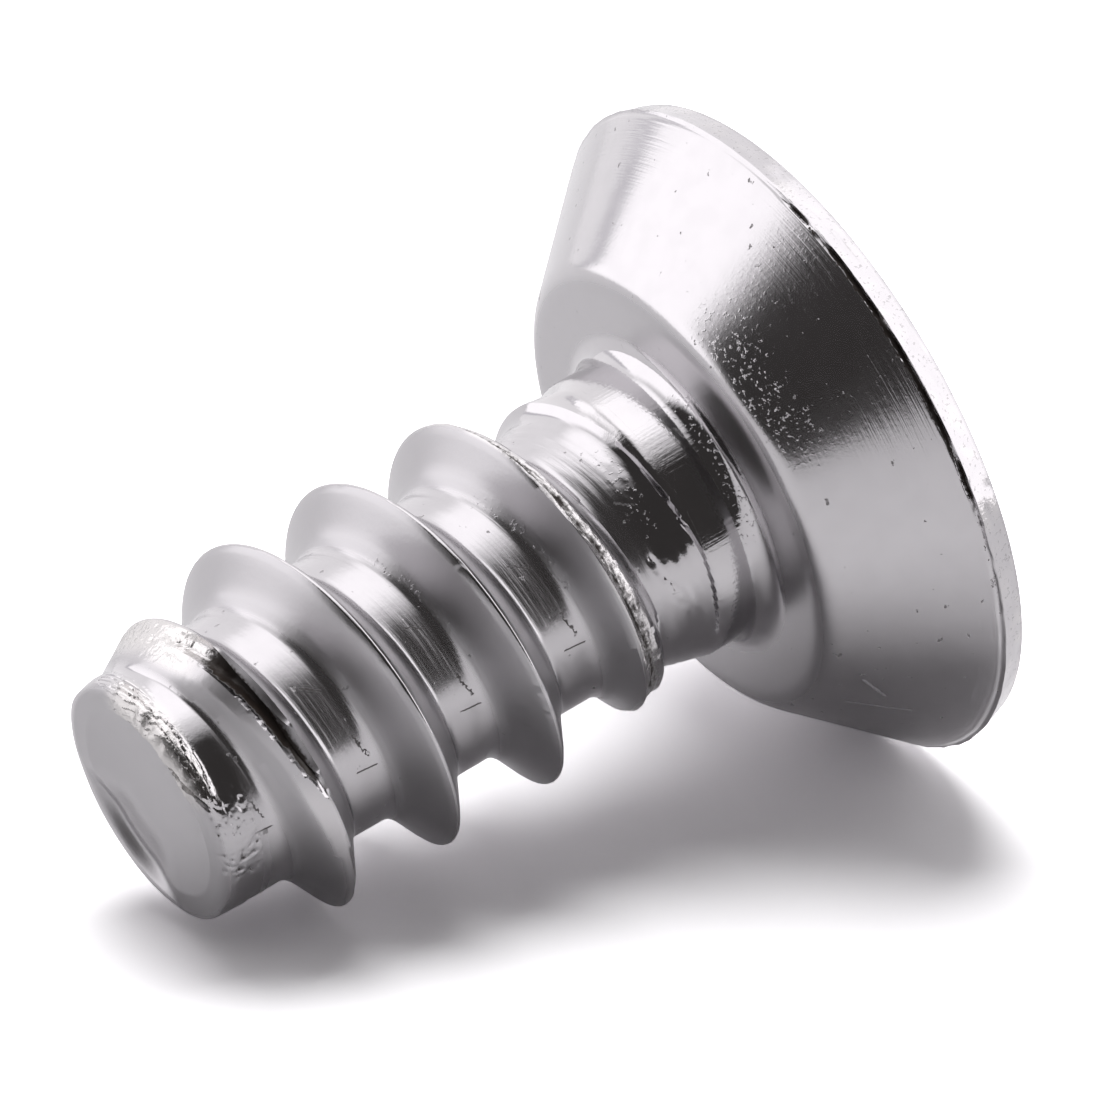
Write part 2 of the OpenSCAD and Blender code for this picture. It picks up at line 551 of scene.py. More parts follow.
middles, _ = face_places(screw)
radius, degrees, height, offset, turn = where_on_thread(middles)
blunt_edge = (height < 0.62) & (radius > 1.08) & (degrees > 155) & (degrees < 290)
first_crest = (turn > -0.8) & (turn < -0.23) & (np.abs(offset) < 0.27) & (radius > core_r + 0.04)
last_crest = (turn > 2.35) & (turn < 3.0) & (np.abs(offset) < 0.12) & (radius > core_r + 0.1)
head_edge = (height > rim_z - torn_edge_h) & (height < rim_z) & (radius > 3.8)
head_edge &= (degrees > 195) & (degrees < 290)
select_only(screw, "FACE", blunt_edge | first_crest | last_crest | head_edge)
bpy.ops.mesh.subdivide(number_cuts=1)
bpy.ops.object.mode_set(mode="OBJECT")

step_degrees = [158, 221, 243, 258, 300]
step_places = [6.33, 6.35, 6.41, 6.48, 6.50]


def past_step(degrees, height):
    """How far a place lies above the step from the run-out up to the neck."""
    return height - np.interp(degrees, step_degrees, step_places)


middles, _ = face_places(screw)
_, degrees, height, _, _ = where_on_thread(middles)
step_edge = (np.abs(past_step(degrees, height)) < 0.05) & (degrees > 152) & (degrees < 302)
select_only(screw, "FACE", step_edge)
bpy.ops.mesh.subdivide(number_cuts=2)
bpy.ops.object.mode_set(mode="OBJECT")
triangles = sum(len(face.vertices) - 2 for face in screw.data.polygons)
print("refined:", len(screw.data.vertices), "points,", triangles, "triangles")

# %% Helpers for marks
def normals_of(piece):
    flat = np.empty(3 * len(piece.data.vertices))
    piece.data.vertex_normals.foreach_get("vector", flat)
    return flat.reshape(-1, 3)


def grain(places, size, seed):
    """Smooth noise from about -1 to 1, with lumps of that size in the places' units."""
    shift = Vector((17.3, 5.1, 9.7)) * seed
    return np.array([noise.noise(Vector(place) / size + shift) for place in places])


# %% Thin lip on the lower side of the blunt end
lip_middle = 48
lip_power = 14
lip_deep = 0.15
lip_deepest_at = 42


def away_from(degrees, middle):
    """Degrees between two directions round the axis."""
    return np.abs((degrees - middle + 180) % 360 - 180)


points = points_of(screw)
radius, degrees, height, _, _ = where_on_thread(points)
lip_side = 1 - ramp(72, 112, away_from(degrees, lip_middle))
out = radius - (core_r - nose_round)
down = nose_round - height
on_arc = (out > 0) & (down > 0)
reach = np.hypot(out, down) + 1e-9
squared = ((np.abs(out) / reach) ** lip_power + (np.abs(down) / reach) ** lip_power) ** (-1 / lip_power)
spread = np.where(on_arc, (squared - 1) * lip_side, 0)
new_radius = radius + out * spread
new_height = height - down * spread
deepest = 1 - ramp(14, 52, away_from(degrees, lip_deepest_at))
deep = lip_deep * deepest
wall_foot = 1.35 - 0.08 * deepest
wall_top = 1.43 - 0.025 * deepest
hollow = deep * window(radius, 0.5, wall_foot - 0.03, wall_foot, wall_top) * (height < 0.2)
angle = np.radians(degrees)
set_points(screw, np.stack(
    [new_radius * np.cos(angle), new_radius * np.sin(angle), new_height + hollow], 1
))
print("lip spread by", round((out * spread).max(), 3), "and hollow by", round(hollow.max(), 3))

# %% Where each point lies
points = points_of(screw)
radius, degrees, height, offset, turn = where_on_thread(points)
angle = np.radians(degrees)
on_shank = window(height, shank_low, 0.4, 6.5, 6.8)
crest_half = crest_w / 2 + (thread_r - crest_limit(height)) * flank_slope
whole_turns = (turn > -0.2) & (turn < 2.35)
crest_share = np.abs(offset) / crest_half
off_crest = ramp(np.where(whole_turns, 0.3, 0.8), np.where(whole_turns, 0.7, 1.05), crest_share)
on_crest = on_shank * ramp(core_r + 0.05, core_r + 0.2, radius) * (1 - off_crest)
wrapped = np.stack([np.cos(angle), np.sin(angle), np.zeros(len(points))], 1)
drawn_out = np.stack([offset, 0.25 * turn * 2 * math.pi * core_r, np.zeros(len(points))], 1)
print("points on crests:", int((on_crest > 0.5).sum()))

# %% Open furrow in the first turn
furrow_turns = [-0.52, -0.46, -0.42, -0.38, -0.34, -0.31, -0.265]
furrow_middles = [0.03, 0.03, 0.025, 0.03, 0.03, 0.04, 0.06]
furrow_halves = [0.05, 0.1, 0.125, 0.115, 0.1, 0.08, 0.02]
furrow_depths = [0.0, 0.1, 0.23, 0.23, 0.21, 0.15, 0.0]
lobe_slope = 0.6
lobe_w = 0.12
ragged_w = 0.02
fine_ragged_w = 0.008

furrow_ragged = ragged_w * grain(points, 0.1, 1) + fine_ragged_w * grain(points, 0.045, 2)
furrow_ragged *= ramp(0.04, -0.06, offset)
furrow_half = np.interp(turn, furrow_turns, furrow_halves)
furrow_across = (offset - np.interp(turn, furrow_turns, furrow_middles) + furrow_ragged) / furrow_half
furrow_open = window(turn, -0.48, -0.43, -0.31, -0.265) * on_shank
furrow_depth = np.interp(turn, furrow_turns, furrow_depths) * np.sqrt(np.clip(1 - furrow_across**2, 0, 1))
furrow_depth *= on_shank
lobe_lift = lobe_slope * furrow_open * np.clip(crest_half - np.abs(offset), 0, lobe_w)
print("deepest furrow:", round(furrow_depth.max(), 3))

# %% Rough crest of the last turn, and nicks in the others
unfilled_deep = 0.02
tear_deep = 0.016
fine_tear_deep = 0.005
crest_pit_deep = 0.02
nick_deep = 0.05
nick_rough_h = 0.003


def rough_crest():
    """Pitted bands where the crest was left unfilled."""
    last_turn = window(turn, 2.38, 2.52, 2.85, 3.2)
    hollow = unfilled_deep * (1 - (offset / crest_half) ** 2)
    torn = tear_deep * np.clip(grain(drawn_out, 0.04, 3), 0, 1)
    torn += fine_tear_deep * grain(drawn_out, 0.022, 4)
    pits = crest_pit_deep * np.clip(grain(points, 0.07, 26), 0, 1)
    first_turn = window(turn, -1.1, -0.85, -0.48, -0.42)
    return on_crest * (last_turn * (hollow + torn) + first_turn * pits)


def nicks():
    deep = np.clip(grain(points, 0.16, 5) - 0.3, 0, 1)
    rough = nick_rough_h * grain(points, 0.07, 6)
    return on_crest * window(turn, -0.2, 0, 2.3, 2.5) * (nick_deep * deep + rough)


pitted_depth = rough_crest()
nick_depth = nicks()
print("pits:", round(pitted_depth.max(), 3), "nicks:", round(nick_depth.max(), 3))

# %% Metal folded over the blunt end
fold_w = 0.075
fold_h = 0.034
crumple_h = 0.022
bend = np.clip(np.arctan2(radius - (core_r - nose_round), nose_round - height), 0, math.pi / 2)
past_bend = core_r - nose_round + nose_round * bend + np.clip(height - nose_round, 0, 9)
along_nose = np.where(radius < core_r - nose_round, radius, past_bend)
on_nose = (1 - ramp(0.45, 0.75, height)) * (radius < core_r + 0.1)
torn_side = window(degrees, 160, 182, 236, 254)


def folds():
    """Overlapping layers, each steep at its inner edge and falling away slowly."""
    wander = 0.06 * grain(wrapped, 0.22, 7) + 0.03 * grain(wrapped, 0.07, 8) + 0.03 * grain(points, 0.2, 9)
    layer = (along_nose + wander) / fold_w % 1
    return fold_h * (1 - layer) ** 0.8 * torn_side * window(along_nose, 1.14, 1.2, 1.5, 1.62)


def crumples():
    zone = window(degrees, 186, 200, 236, 250) * window(along_nose, 1.14, 1.2, 1.42, 1.58)
    return crumple_h * (1 - 2.4 * np.abs(grain(points, 0.24, 10))) * zone


fold_lift = (folds() + crumples()) * on_nose
print("folds:", round(fold_lift.max(), 3))

# %% Crevice beside the folds
crevice_degrees = [214, 219, 233, 247, 252]
crevice_places = [1.15, 1.17, 1.28, 1.40, 1.44]
crevice_half = 0.024
crevice_deep = 0.1

crevice_middle = np.interp(degrees, crevice_degrees, crevice_places) + 0.012 * grain(points, 0.09, 11)
crevice_near = np.clip(1 - np.abs(along_nose - crevice_middle) / crevice_half, 0, 1)
crevice_near *= window(degrees, 214, 218, 243, 251) * on_nose
crevice_depth = crevice_deep * np.sqrt(crevice_near)
print("crevice:", round(crevice_depth.max(), 3))

# %% Ripples and pits of the blunt end
ripple_w = 0.05
ripple_h = 0.012
nose_pit_deep = 0.022


def nose_ripples():
    wave = (along_nose + 0.03 * grain(wrapped, 0.3, 13)) / ripple_w % 1
    side = window(degrees, 128, 152, 186, 202)
    return ripple_h * (1 - wave) * window(along_nose, 1.42, 1.47, 1.62, 1.7) * side


def nose_pits():
    deep = np.clip(grain(points, 0.07, 14) - 0.12, 0, 1)
    deep += 0.6 * np.clip(grain(points, 0.035, 15) - 0.2, 0, 1)
    side = window(degrees, 242, 254, 285, 305) * on_nose
    return nose_pit_deep * deep * side * window(along_nose, 1.3, 1.4, 1.8, 2.0)


ripple_lift = nose_ripples()
pit_depth = nose_pits()
print("ripples:", round(ripple_lift.max(), 3), "pits:", round(pit_depth.max(), 3))

# %% Step up to the neck
step_soft_degrees = [205, 238]
step_half_ws = [0.1, 0.018]
step_dip = 0.035


def neck_step():
    """Step from the hollow run-out up to the plain neck, where the rolling ended."""
    past = past_step(degrees, height) + 0.008 * grain(points, 0.2, 27)
    side = window(degrees, 150, 172, 296, 310)
    half_w = np.interp(degrees, step_soft_degrees, step_half_ws)
    up = ramp(-half_w, half_w, past) * np.clip(neck_r - radius, 0, 1) * (height < neck_z + 0.05)
    dip = step_dip * window(past, -0.45, -0.11, -half_w, half_w)
    return side * (up - dip) * (radius < neck_r + 0.01)


step_lift = neck_step()
print("step from", round(step_lift.min(), 3), "to", round(step_lift.max(), 3))

# %% Run-out, roots and lumps
rough_h = 0.005
rolled_line_h = 0.0025
rolled_line_w = 0.13
root_lump_h = 0.004
head_lump_h = 0.0015
crack_degrees = [246, 278]
crack_places = [5.92, 6.12]
crack_deep = 0.03
crack_half = 0.02


def run_out_marks():
    """Lines along the thread, and a rough patch beside the step."""
    zone = window(height, 5.2, 5.5, 6.3, 6.5) * on_shank * (1 - on_crest)
    wavy_offset = offset + 0.04 * grain(points, 0.5, 16)
    lines = rolled_line_h * np.sin(wavy_offset * 2 * math.pi / rolled_line_w)
    patch = window(degrees, 196, 206, 238, 252) * window(height, 5.92, 6.02, 6.14, 6.24)
    return zone * (lines + patch * rough_h * grain(points, 0.08, 17))


def run_out_crack():
    middle = np.interp(degrees, crack_degrees, crack_places) + 0.04 * grain(points, 0.12, 18)
    near = np.clip(1 - np.abs(height - middle) / crack_half, 0, 1)
    return crack_deep * near * window(degrees, 246, 250, 272, 278) * on_shank


def lumps():
    in_roots = on_shank * (1 - ramp(core_r + 0.05, core_r + 0.2, radius))
    on_head = ramp(seat_z, seat_z + 0.1, height) * (1 - ramp(length - 0.02, length, height))
    calmer = 1 - 0.7 * ramp(5, 5.5, height)
    root_lumps = root_lump_h * calmer * grain(drawn_out, 0.16, 19)
    return in_roots * root_lumps + on_head * head_lump_h * grain(points, 1.0, 20)


surface_lift = run_out_marks() + lumps()
crack_depth = run_out_crack()
print("run-out and lumps:", round(surface_lift.max(), 3), "crack:", round(crack_depth.max(), 3))

# %% Torn edge of the head
edge_groove_z = rim_z - 0.035
edge_groove_half = 0.03
plain_groove_deep = 0.01
torn_groove_deep = 0.05
land_rough_h = 0.012
land_fine_h = 0.007


def edge_groove():
    """Ragged groove where the cone meets the land of the rim."""
    ragged = grain(points, 0.25, 21) + 0.5 * grain(points, 0.1, 22)
    torn = window(degrees, 196, 206, 256, 272) + 0.3 * window(degrees, 256, 272, 280, 292)
    deep = plain_groove_deep + torn_groove_deep * torn * np.clip(0.7 + ragged, 0, 1)
    near = 1 - np.abs(height - edge_groove_z - 0.01 * grain(points, 0.2, 23)) / edge_groove_half
    return deep * np.clip(near, 0, 1) * (radius > head_r - 0.2) * (height < rim_z)


def rim_land():
    land = (radius > rim_top_r - 0.01) * window(height, rim_z - 0.02, rim_z, length - 0.02, length)
    return land * (land_rough_h * grain(points, 0.18, 24) + land_fine_h * grain(points, 0.09, 25))


groove_depth = edge_groove()
land_lift = rim_land()
print("groove:", round(groove_depth.max(), 3), "land:", round(land_lift.max(), 3))

# %% Lift the points
lift = fold_lift + lobe_lift + ripple_lift + step_lift + surface_lift + land_lift
lift -= furrow_depth + pitted_depth + nick_depth + crevice_depth + pit_depth + crack_depth + groove_depth
set_points(screw, points + normals_of(screw) * lift[:, None])
print("lifted from", round(lift.min(), 3), "to", round(lift.max(), 3))

# %% [markdown]
# ## What the finish needs to know
# The finish differs from place to place: flanks and the end face are satin and torn metal is rough.
# The furrow, crevice, groove, pits and crack are painted dark as shade, by their depth, and the lower
# front of the flanks and of the blunt end gets painted shade through a larger satin share. These
# shares are stored on the points as attributes, because the material can read them there and they
# move with the mesh.

# %% Attributes for the finish
def store(piece, name, shares):
    attribute = piece.data.attributes.new(name, "FLOAT", "POINT")
    attribute.data.foreach_set("value", np.clip(shares, 0, 1).astype(np.float32))
    print(name, "on", int((shares > 0.5).sum()), "points")


on_flank = on_shank * ramp(core_r + 0.005, core_r + 0.08, radius) * (1 - on_crest)
on_flank *= 1 - ramp(5.4, 5.8, height)
end_face = (1 - ramp(1.36, 1.44, radius)) * (height < 0.2)
ring = window(radius, 1.9, 2.0, 2.6, 2.75) * (np.abs(height - seat_z) < 0.1)
in_furrow = furrow_open * np.clip((1 - np.abs(furrow_across)) / 0.2, 0, 1)
lobes = furrow_open * (1 - in_furrow) * (np.abs(offset) < crest_half + 0.05)
in_pits = pitted_depth / 0.034 + pit_depth / 0.02 * (height > 0.05) + crack_depth / crack_deep
fillet = window(height, shank_high + 0.02, shank_high + 0.08, seat_z - 0.06, seat_z) * (radius < 1.98)
torn_nose = torn_side * window(along_nose, 1.12, 1.2, 1.5, 1.7) * on_nose
foot = window(offset, -0.45, -0.41, -0.38, -0.34) * on_shank
foot *= window(turn, 1.5, 1.54, 1.62, 1.68) + window(turn, 2.5, 2.54, 2.66, 2.72)
rough_turns = 0.1 + 0.3 * window(turn, 2.3, 2.45, 3.2, 3.4) + 0.6 * (1 - ramp(-0.5, -0.4, turn))
on_wedge = window(degrees, 198, 208, 232, 246) * window(height, 7.25, 7.35, rim_z - 0.1, rim_z)
flecked = on_wedge * (0.1 + 0.9 * window(radius, 2.72, 2.8, 2.95, 3.25))
# Partly satin finish, partly painted shade: the lower front side of the blunt end gets a satin share that
# darkens its colour.
painted_shade_nose_side = window(degrees, 246, 258, 330, 350) * on_nose * (height > 0.02)
run_out_patch = window(degrees, 198, 206, 236, 250) * window(height, 5.95, 6.02, 6.12, 6.22)
top_face = 0.7 * (height > length - 0.005) * (radius < rim_top_r)
# Painted shade: the lower front side of the flanks gets a larger satin share, so more of the darker satin
# grey.
painted_shade_low_flank = 0.3 * on_flank * window(degrees, 232, 250, 300, 320)
# This share is the satin finish, plus painted shade on the lower front of the flanks and of the blunt end.
store(screw, "satin_and_shade", 0.6 * (on_flank + ring + lobes) + painted_shade_low_flank + 0.45 * painted_shade_nose_side + end_face + top_face)
# Painted shade: the furrow, crevice, groove, pits and crack are painted dark in step with their depth.
store(screw, "recess_shade", in_furrow + 2 * crevice_near + groove_depth / torn_groove_deep + in_pits)
store(screw, "worn", rough_turns * on_crest * (1 - lobes) + 0.6 * torn_nose + 40 * land_lift)
fillet_flecks = 0.8 * fillet * window(degrees, 196, 206, 255, 275)
store(screw, "fleck", flecked + foot + fillet_flecks + 0.8 * run_out_patch)

# %% Lay the screw down
start_clean()
screw.select_set(True)
bpy.context.view_layer.objects.active = screw
screw.matrix_world = lay_down
bpy.ops.object.transform_apply(location=True, rotation=True, scale=True)
bpy.ops.object.shade_smooth_by_angle(angle=math.radians(40))
middles, normals = face_places(screw)
at_top = (middles - np.array(blunt_end)) @ np.array(axis) > on_top * MM
select_only(screw, "FACE", at_top & (normals @ np.array(axis) > 0.9999))
bpy.ops.mesh.faces_shade_flat()
bpy.ops.object.mode_set(mode="OBJECT")
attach(screw, "root")
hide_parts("screw")
print("laid down:", len(screw.data.polygons), "faces,", count_open_edges(screw), "open edges")

# %% [markdown]
# ## Steel
# The screw is bright plated steel. Up close it isn't smooth: the head has fine turned lines, the roots
# have lines along the thread, the neck is scratched lengthwise and all of it has small pits. A Mapping
# node turns the place of a point back to the upright screw in millimetres, so that each pattern
# can follow radius, angle and height. All heights are added up in millimetres for one Bump node.

# %% Helpers for nodes
def add_node(tree, kind, **settings):
    node = tree.nodes.new(kind)
    for name, value in settings.items():
        setattr(node, name, value)
    return node


def plug(tree, value, socket):
    """Links a socket to another, or sets a plain value on it."""
    if isinstance(value, bpy.types.NodeSocket):
        tree.links.new(value, socket)
    else:
        socket.default_value = value


def calc(tree, operation, *values):
    """A Math node of that operation on sockets or numbers."""
    node = add_node(tree, "ShaderNodeMath", operation=operation)
    for value, socket in zip(values, node.inputs):
        plug(tree, value, socket)
    return node.outputs["Value"]


def total(tree, first, *others):
    for other in others:
        first = calc(tree, "ADD", first, other)
    return first


def product(tree, first, *others):
    for other in others:
        first = calc(tree, "MULTIPLY", first, other)
    return first


def rise(tree, value, low, high, bottom=0.0, top=1.0):
    """A smooth step of value from low to high."""
    node = add_node(tree, "ShaderNodeMapRange", interpolation_type="SMOOTHSTEP")
    given = {"Value": value, "From Min": low, "From Max": high, "To Min": bottom, "To Max": top}
    for name, setting in given.items():
        plug(tree, setting, node.inputs[name])
    return node.outputs["Result"]


def between(tree, value, begin, full, fade, end):
    """1 between full and fade, 0 before begin and after end."""
    return product(tree, rise(tree, value, begin, full), rise(tree, value, fade, end, 1.0, 0.0))


def blend_colour(tree, share, first, second):
    """A mix of two colours or colour sockets."""
    node = add_node(tree, "ShaderNodeMix", data_type="RGBA")
    plug(tree, share, node.inputs["Factor"])
    plug(tree, first, node.inputs[6])
    plug(tree, second, node.inputs[7])
    return node.outputs[2]


def combine(tree, x, y, z):
    node = add_node(tree, "ShaderNodeCombineXYZ")
    for value, name in ((x, "X"), (y, "Y"), (z, "Z")):
        plug(tree, value, node.inputs[name])
    return node.outputs["Vector"]


def noise_at(tree, place, scale=1.0, detail=2.0):
    """Noise round 0, from about -0.3 to 0.3."""
    node = add_node(tree, "ShaderNodeTexNoise")
    node.inputs["Scale"].default_value = scale
    node.inputs["Detail"].default_value = detail
    tree.links.new(place, node.inputs["Vector"])
    return calc(tree, "SUBTRACT", node.outputs["Fac"], 0.5)


def attribute(tree, name):
    return add_node(tree, "ShaderNodeAttribute", attribute_name=name).outputs["Fac"]


# %% Place on the upright screw
steel = bpy.data.materials.new("bright_plated_steel")
steel.use_nodes = True
finish = steel.node_tree
turned_back = add_node(finish, "ShaderNodeMapping")
turned_back.inputs["Scale"].default_value = (1 / MM, 1 / MM, 1 / MM)
turned_back.inputs["Rotation"].default_value = (0, -lean, 0)
turned_back.inputs["Location"].default_value = -(Matrix.Rotation(-lean, 3, "Y") @ (blunt_end / MM))
finish.links.new(add_node(finish, "ShaderNodeTexCoord").outputs["Object"], turned_back.inputs["Vector"])
place = turned_back.outputs["Vector"]
split = add_node(finish, "ShaderNodeSeparateXYZ")
finish.links.new(place, split.inputs["Vector"])
x, y, z = (split.outputs[name] for name in "XYZ")
from_axis = calc(finish, "SQRT", total(finish, product(finish, x, x), product(finish, y, y)))
turned = calc(finish, "ARCTAN2", y, x)
half_turned = calc(finish, "ARCTAN2", product(finish, y, -1), product(finish, x, -1))
whole_turn = total(finish, calc(finish, "DEGREES", half_turned), 180)
ridge_turn = calc(finish, "SUBTRACT", product(finish, z, 2 * math.pi / pitch), turned)
print("place on the screw from", len(finish.nodes), "nodes")

# %% Where each pattern lies
satin_and_shade = attribute(finish, "satin_and_shade")
flecked = attribute(finish, "fleck")
recess_shaded = attribute(finish, "recess_shade")
worn = attribute(finish, "worn")
on_head = rise(finish, z, seat_z - 0.05, seat_z + 0.1)
on_cone = product(finish, on_head, rise(finish, z, rim_z - 0.03, rim_z, 1.0, 0.0))
on_neck = between(finish, z, 6.3, 6.6, shank_high, seat_z - 0.05)
in_root = product(
    finish,
    rise(finish, from_axis, core_r + 0.04, core_r + 0.14, 1.0, 0.0),
    between(finish, z, 0.4, 0.6, 6.3, 6.5),
)
print("places of the patterns from", len(finish.nodes), "nodes")

# %% Lines of turning and rolling
def blend_place(share, first, second):
    """The first place where share is 0, the second where it is 1."""
    node = add_node(finish, "ShaderNodeMix", data_type="VECTOR")
    plug(finish, share, node.inputs[0])
    plug(finish, first, node.inputs[4])
    plug(finish, second, node.inputs[5])
    return node.outputs[1]


round_x = calc(finish, "COSINE", turned)
round_y = calc(finish, "SINE", turned)
thread_reach = 14 * pitch / (2 * math.pi)
thread_spot = combine(
    finish,
    product(finish, calc(finish, "COSINE", ridge_turn), thread_reach),
    product(finish, calc(finish, "SINE", ridge_turn), thread_reach),
    product(finish, z, 7),
)
neck_spot = combine(
    finish, product(finish, round_x, 40), product(finish, round_y, 40), product(finish, z, 1.5)
)
ring_spot = combine(
    finish,
    product(finish, total(finish, from_axis, z), 26),
    product(finish, round_x, 3),
    product(finish, round_y, 3),
)
line_spot = blend_place(calc(finish, "GREATER_THAN", z, 6.5), thread_spot, neck_spot)
line_spot = blend_place(calc(finish, "GREATER_THAN", z, seat_z - 0.05), line_spot, ring_spot)
line_depth = total(
    finish,
    product(finish, on_head, rise(finish, from_axis, 3.2, 3.9, 0.0006, 0.004)),
    product(finish, in_root, 0.005),
    product(finish, on_neck, 0.003),
)
line_height = product(finish, noise_at(finish, line_spot, 1, 3), line_depth)

# %% Grain, flecks and pits
fine = noise_at(finish, place, 22, 3)
middle = noise_at(finish, place, 8, 4)
coarse = noise_at(finish, place, 3.5, 3)
pit_zone = total(finish, on_cone, product(finish, in_root, 0.6))
# The pits are dents in the bump, and further down they are also painted dark as shade.
pits = product(finish, rise(finish, middle, 0.19, 0.24), pit_zone)
grain_height = total(
    finish,
    product(finish, fine, total(finish, product(finish, worn, 0.014), 0.0008)),
    product(finish, rise(finish, fine, 0.07, 0.22), flecked, rise(finish, middle, -0.12, 0.1), 0.006),
    product(finish, pits, -0.005),
)
print("steel so far:", len(finish.nodes), "nodes")

# %% Single scratches and ticks
def scratch(spot, start, end, half_w):
    """1 on a thin line from start to end, given in the units of spot."""
    start, end = Vector(start), Vector(end)
    run = end - start
    from_start = add_node(finish, "ShaderNodeVectorMath", operation="SUBTRACT")
    plug(finish, spot, from_start.inputs[0])
    plug(finish, start, from_start.inputs[1])
    along = add_node(finish, "ShaderNodeVectorMath", operation="DOT_PRODUCT")
    plug(finish, from_start.outputs["Vector"], along.inputs[0])
    plug(finish, run / run.length_squared, along.inputs[1])
    nearest = add_node(finish, "ShaderNodeVectorMath", operation="SCALE")
    plug(finish, run, nearest.inputs[0])
    plug(finish, rise_straight(along.outputs["Value"]), nearest.inputs["Scale"])
    away = add_node(finish, "ShaderNodeVectorMath", operation="DISTANCE")
    plug(finish, from_start.outputs["Vector"], away.inputs[0])
    plug(finish, nearest.outputs["Vector"], away.inputs[1])
    return rise(finish, away.outputs["Value"], 0.4 * half_w, half_w, 1.0, 0.0)


def rise_straight(value):
    """The value kept between 0 and 1."""
    return calc(finish, "MINIMUM", calc(finish, "MAXIMUM", value, 0), 1)


wobble = product(finish, fine, 0.12)
turns_up = calc(finish, "DIVIDE", total(finish, z, -first_turn_h), pitch)
past_crest = calc(finish, "SUBTRACT", turns_up, product(finish, whole_turn, 1 / 360))
from_root = product(finish, calc(finish, "SUBTRACT", calc(finish, "FRACT", past_crest), 0.5), pitch)
root_mm = math.radians(1) * core_r
root_spot = combine(finish, product(finish, whole_turn, root_mm), total(finish, from_root, wobble), 0)
ticks = calc(finish, "MAXIMUM", calc(finish, "MAXIMUM", scratch(
    root_spot, (253 * root_mm, 0.10, 0), (265 * root_mm, 0.15, 0), 0.016
), scratch(
    root_spot, (271 * root_mm, 0.19, 0), (270 * root_mm, -0.06, 0), 0.014
)), scratch(
    root_spot, (224 * root_mm, -0.06, 0), (229 * root_mm, 0.11, 0), 0.014
))
ticks = product(finish, ticks, in_root)
cone_mm = math.radians(1) * 3.2
cone_across = total(finish, from_axis, product(finish, wobble, 0.3))
cone_spot = combine(finish, product(finish, whole_turn, cone_mm), cone_across, 0)
pale_scratches = calc(finish, "MAXIMUM", scratch(
    cone_spot, (303 * cone_mm, 3.01, 0), (308.5 * cone_mm, 3.20, 0), 0.02
), scratch(
    cone_spot, (315 * cone_mm, 2.97, 0), (313 * cone_mm, 3.43, 0), 0.018
))
pale_scratches = product(finish, pale_scratches, on_cone)

# %% Ragged line along the rim
# Painted shade: a ragged dark line along the groove where the cone meets the rim's land.
edge_wave = total(finish, product(finish, middle, 0.03), product(finish, fine, 0.05))
from_edge = calc(finish, "ABSOLUTE", calc(finish, "SUBTRACT", total(finish, z, edge_wave), edge_groove_z))
dotted = product(finish, between(finish, whole_turn, 200, 206, 268, 280), rise(finish, fine, 0.04, 0.14))
edge_w = total(
    finish,
    product(finish, between(finish, whole_turn, 204, 220, 244, 260), 0.028),
    product(finish, dotted, 0.016),
    -0.004,
)
edge_line = rise(finish, calc(finish, "SUBTRACT", edge_w, from_edge), -0.004, 0.006)
edge_line = product(finish, edge_line, rise(finish, from_axis, 3.9, 3.94))
on_land = product(finish, rise(finish, z, rim_z - 0.01, rim_z + 0.03), rise(finish, from_axis, 3.86, 3.9))
land_specks = product(finish, rise(finish, fine, 0.08, 0.2), on_land)

# %% Shader of the steel
pale = (0.6, 0.585, 0.6, 1)
dull = (0.58, 0.565, 0.58, 1)
satin_and_shade_grey = (0.44, 0.43, 0.443, 1)
torn_white = (0.74, 0.72, 0.70, 1)
# The dark colour: painted shade in the recesses, along the rim's groove and in the pits, and the dark ticks
# and specks.
dark_shade_and_marks = (0.032, 0.024, 0.02, 1)
clear_roughness = 0.09

# Painted shade: the dark colour goes into the recesses by their depth, along the rim's groove and into the
# pits; the ticks and the land's specks are dark marks.
dark_share = calc(finish, "MINIMUM", 1.0, total(
    finish,
    rise(finish, total(finish, recess_shaded, product(finish, fine, 0.8)), 0.35, 0.8),
    edge_line,
    product(finish, pits, 0.6),
    product(finish, ticks, 0.8),
    product(finish, land_specks, 0.2),
))
colour = blend_colour(finish, rise(finish, coarse, -0.2, 0.2), dull, pale)
# Towards the darker grey where the share is high: satin finish, and painted shade on the lower front of the
# flanks and blunt end.
colour = blend_colour(finish, satin_and_shade, colour, satin_and_shade_grey)
colour = blend_colour(finish, worn, colour, torn_white)
colour = blend_colour(finish, dark_share, colour, dark_shade_and_marks)
roughness = total(
    finish,
    clear_roughness,
    rise(finish, satin_and_shade, 0.0, 1.0, 0.0, 0.3),
    product(finish, worn, 0.16),
    product(finish, on_cone, 0.07),
    product(finish, in_root, 0.14),
    product(finish, dark_share, 0.3),
    product(finish, pale_scratches, 0.4),
    product(finish, coarse, 0.04),
)
bump = add_node(finish, "ShaderNodeBump")
bump.inputs["Distance"].default_value = MM
finish.links.new(total(finish, line_height, grain_height), bump.inputs["Height"])
shader = finish.nodes["Principled BSDF"]
finish.links.new(colour, shader.inputs["Base Color"])
metal_share = calc(finish, "SUBTRACT", 1.0, product(finish, dark_share, 0.85))
finish.links.new(metal_share, shader.inputs["Metallic"])
finish.links.new(roughness, shader.inputs["Roughness"])
finish.links.new(bump.outputs["Normal"], shader.inputs["Normal"])
screw.data.materials.clear()
screw.data.materials.append(steel)
print("steel:", len(finish.nodes), "nodes")

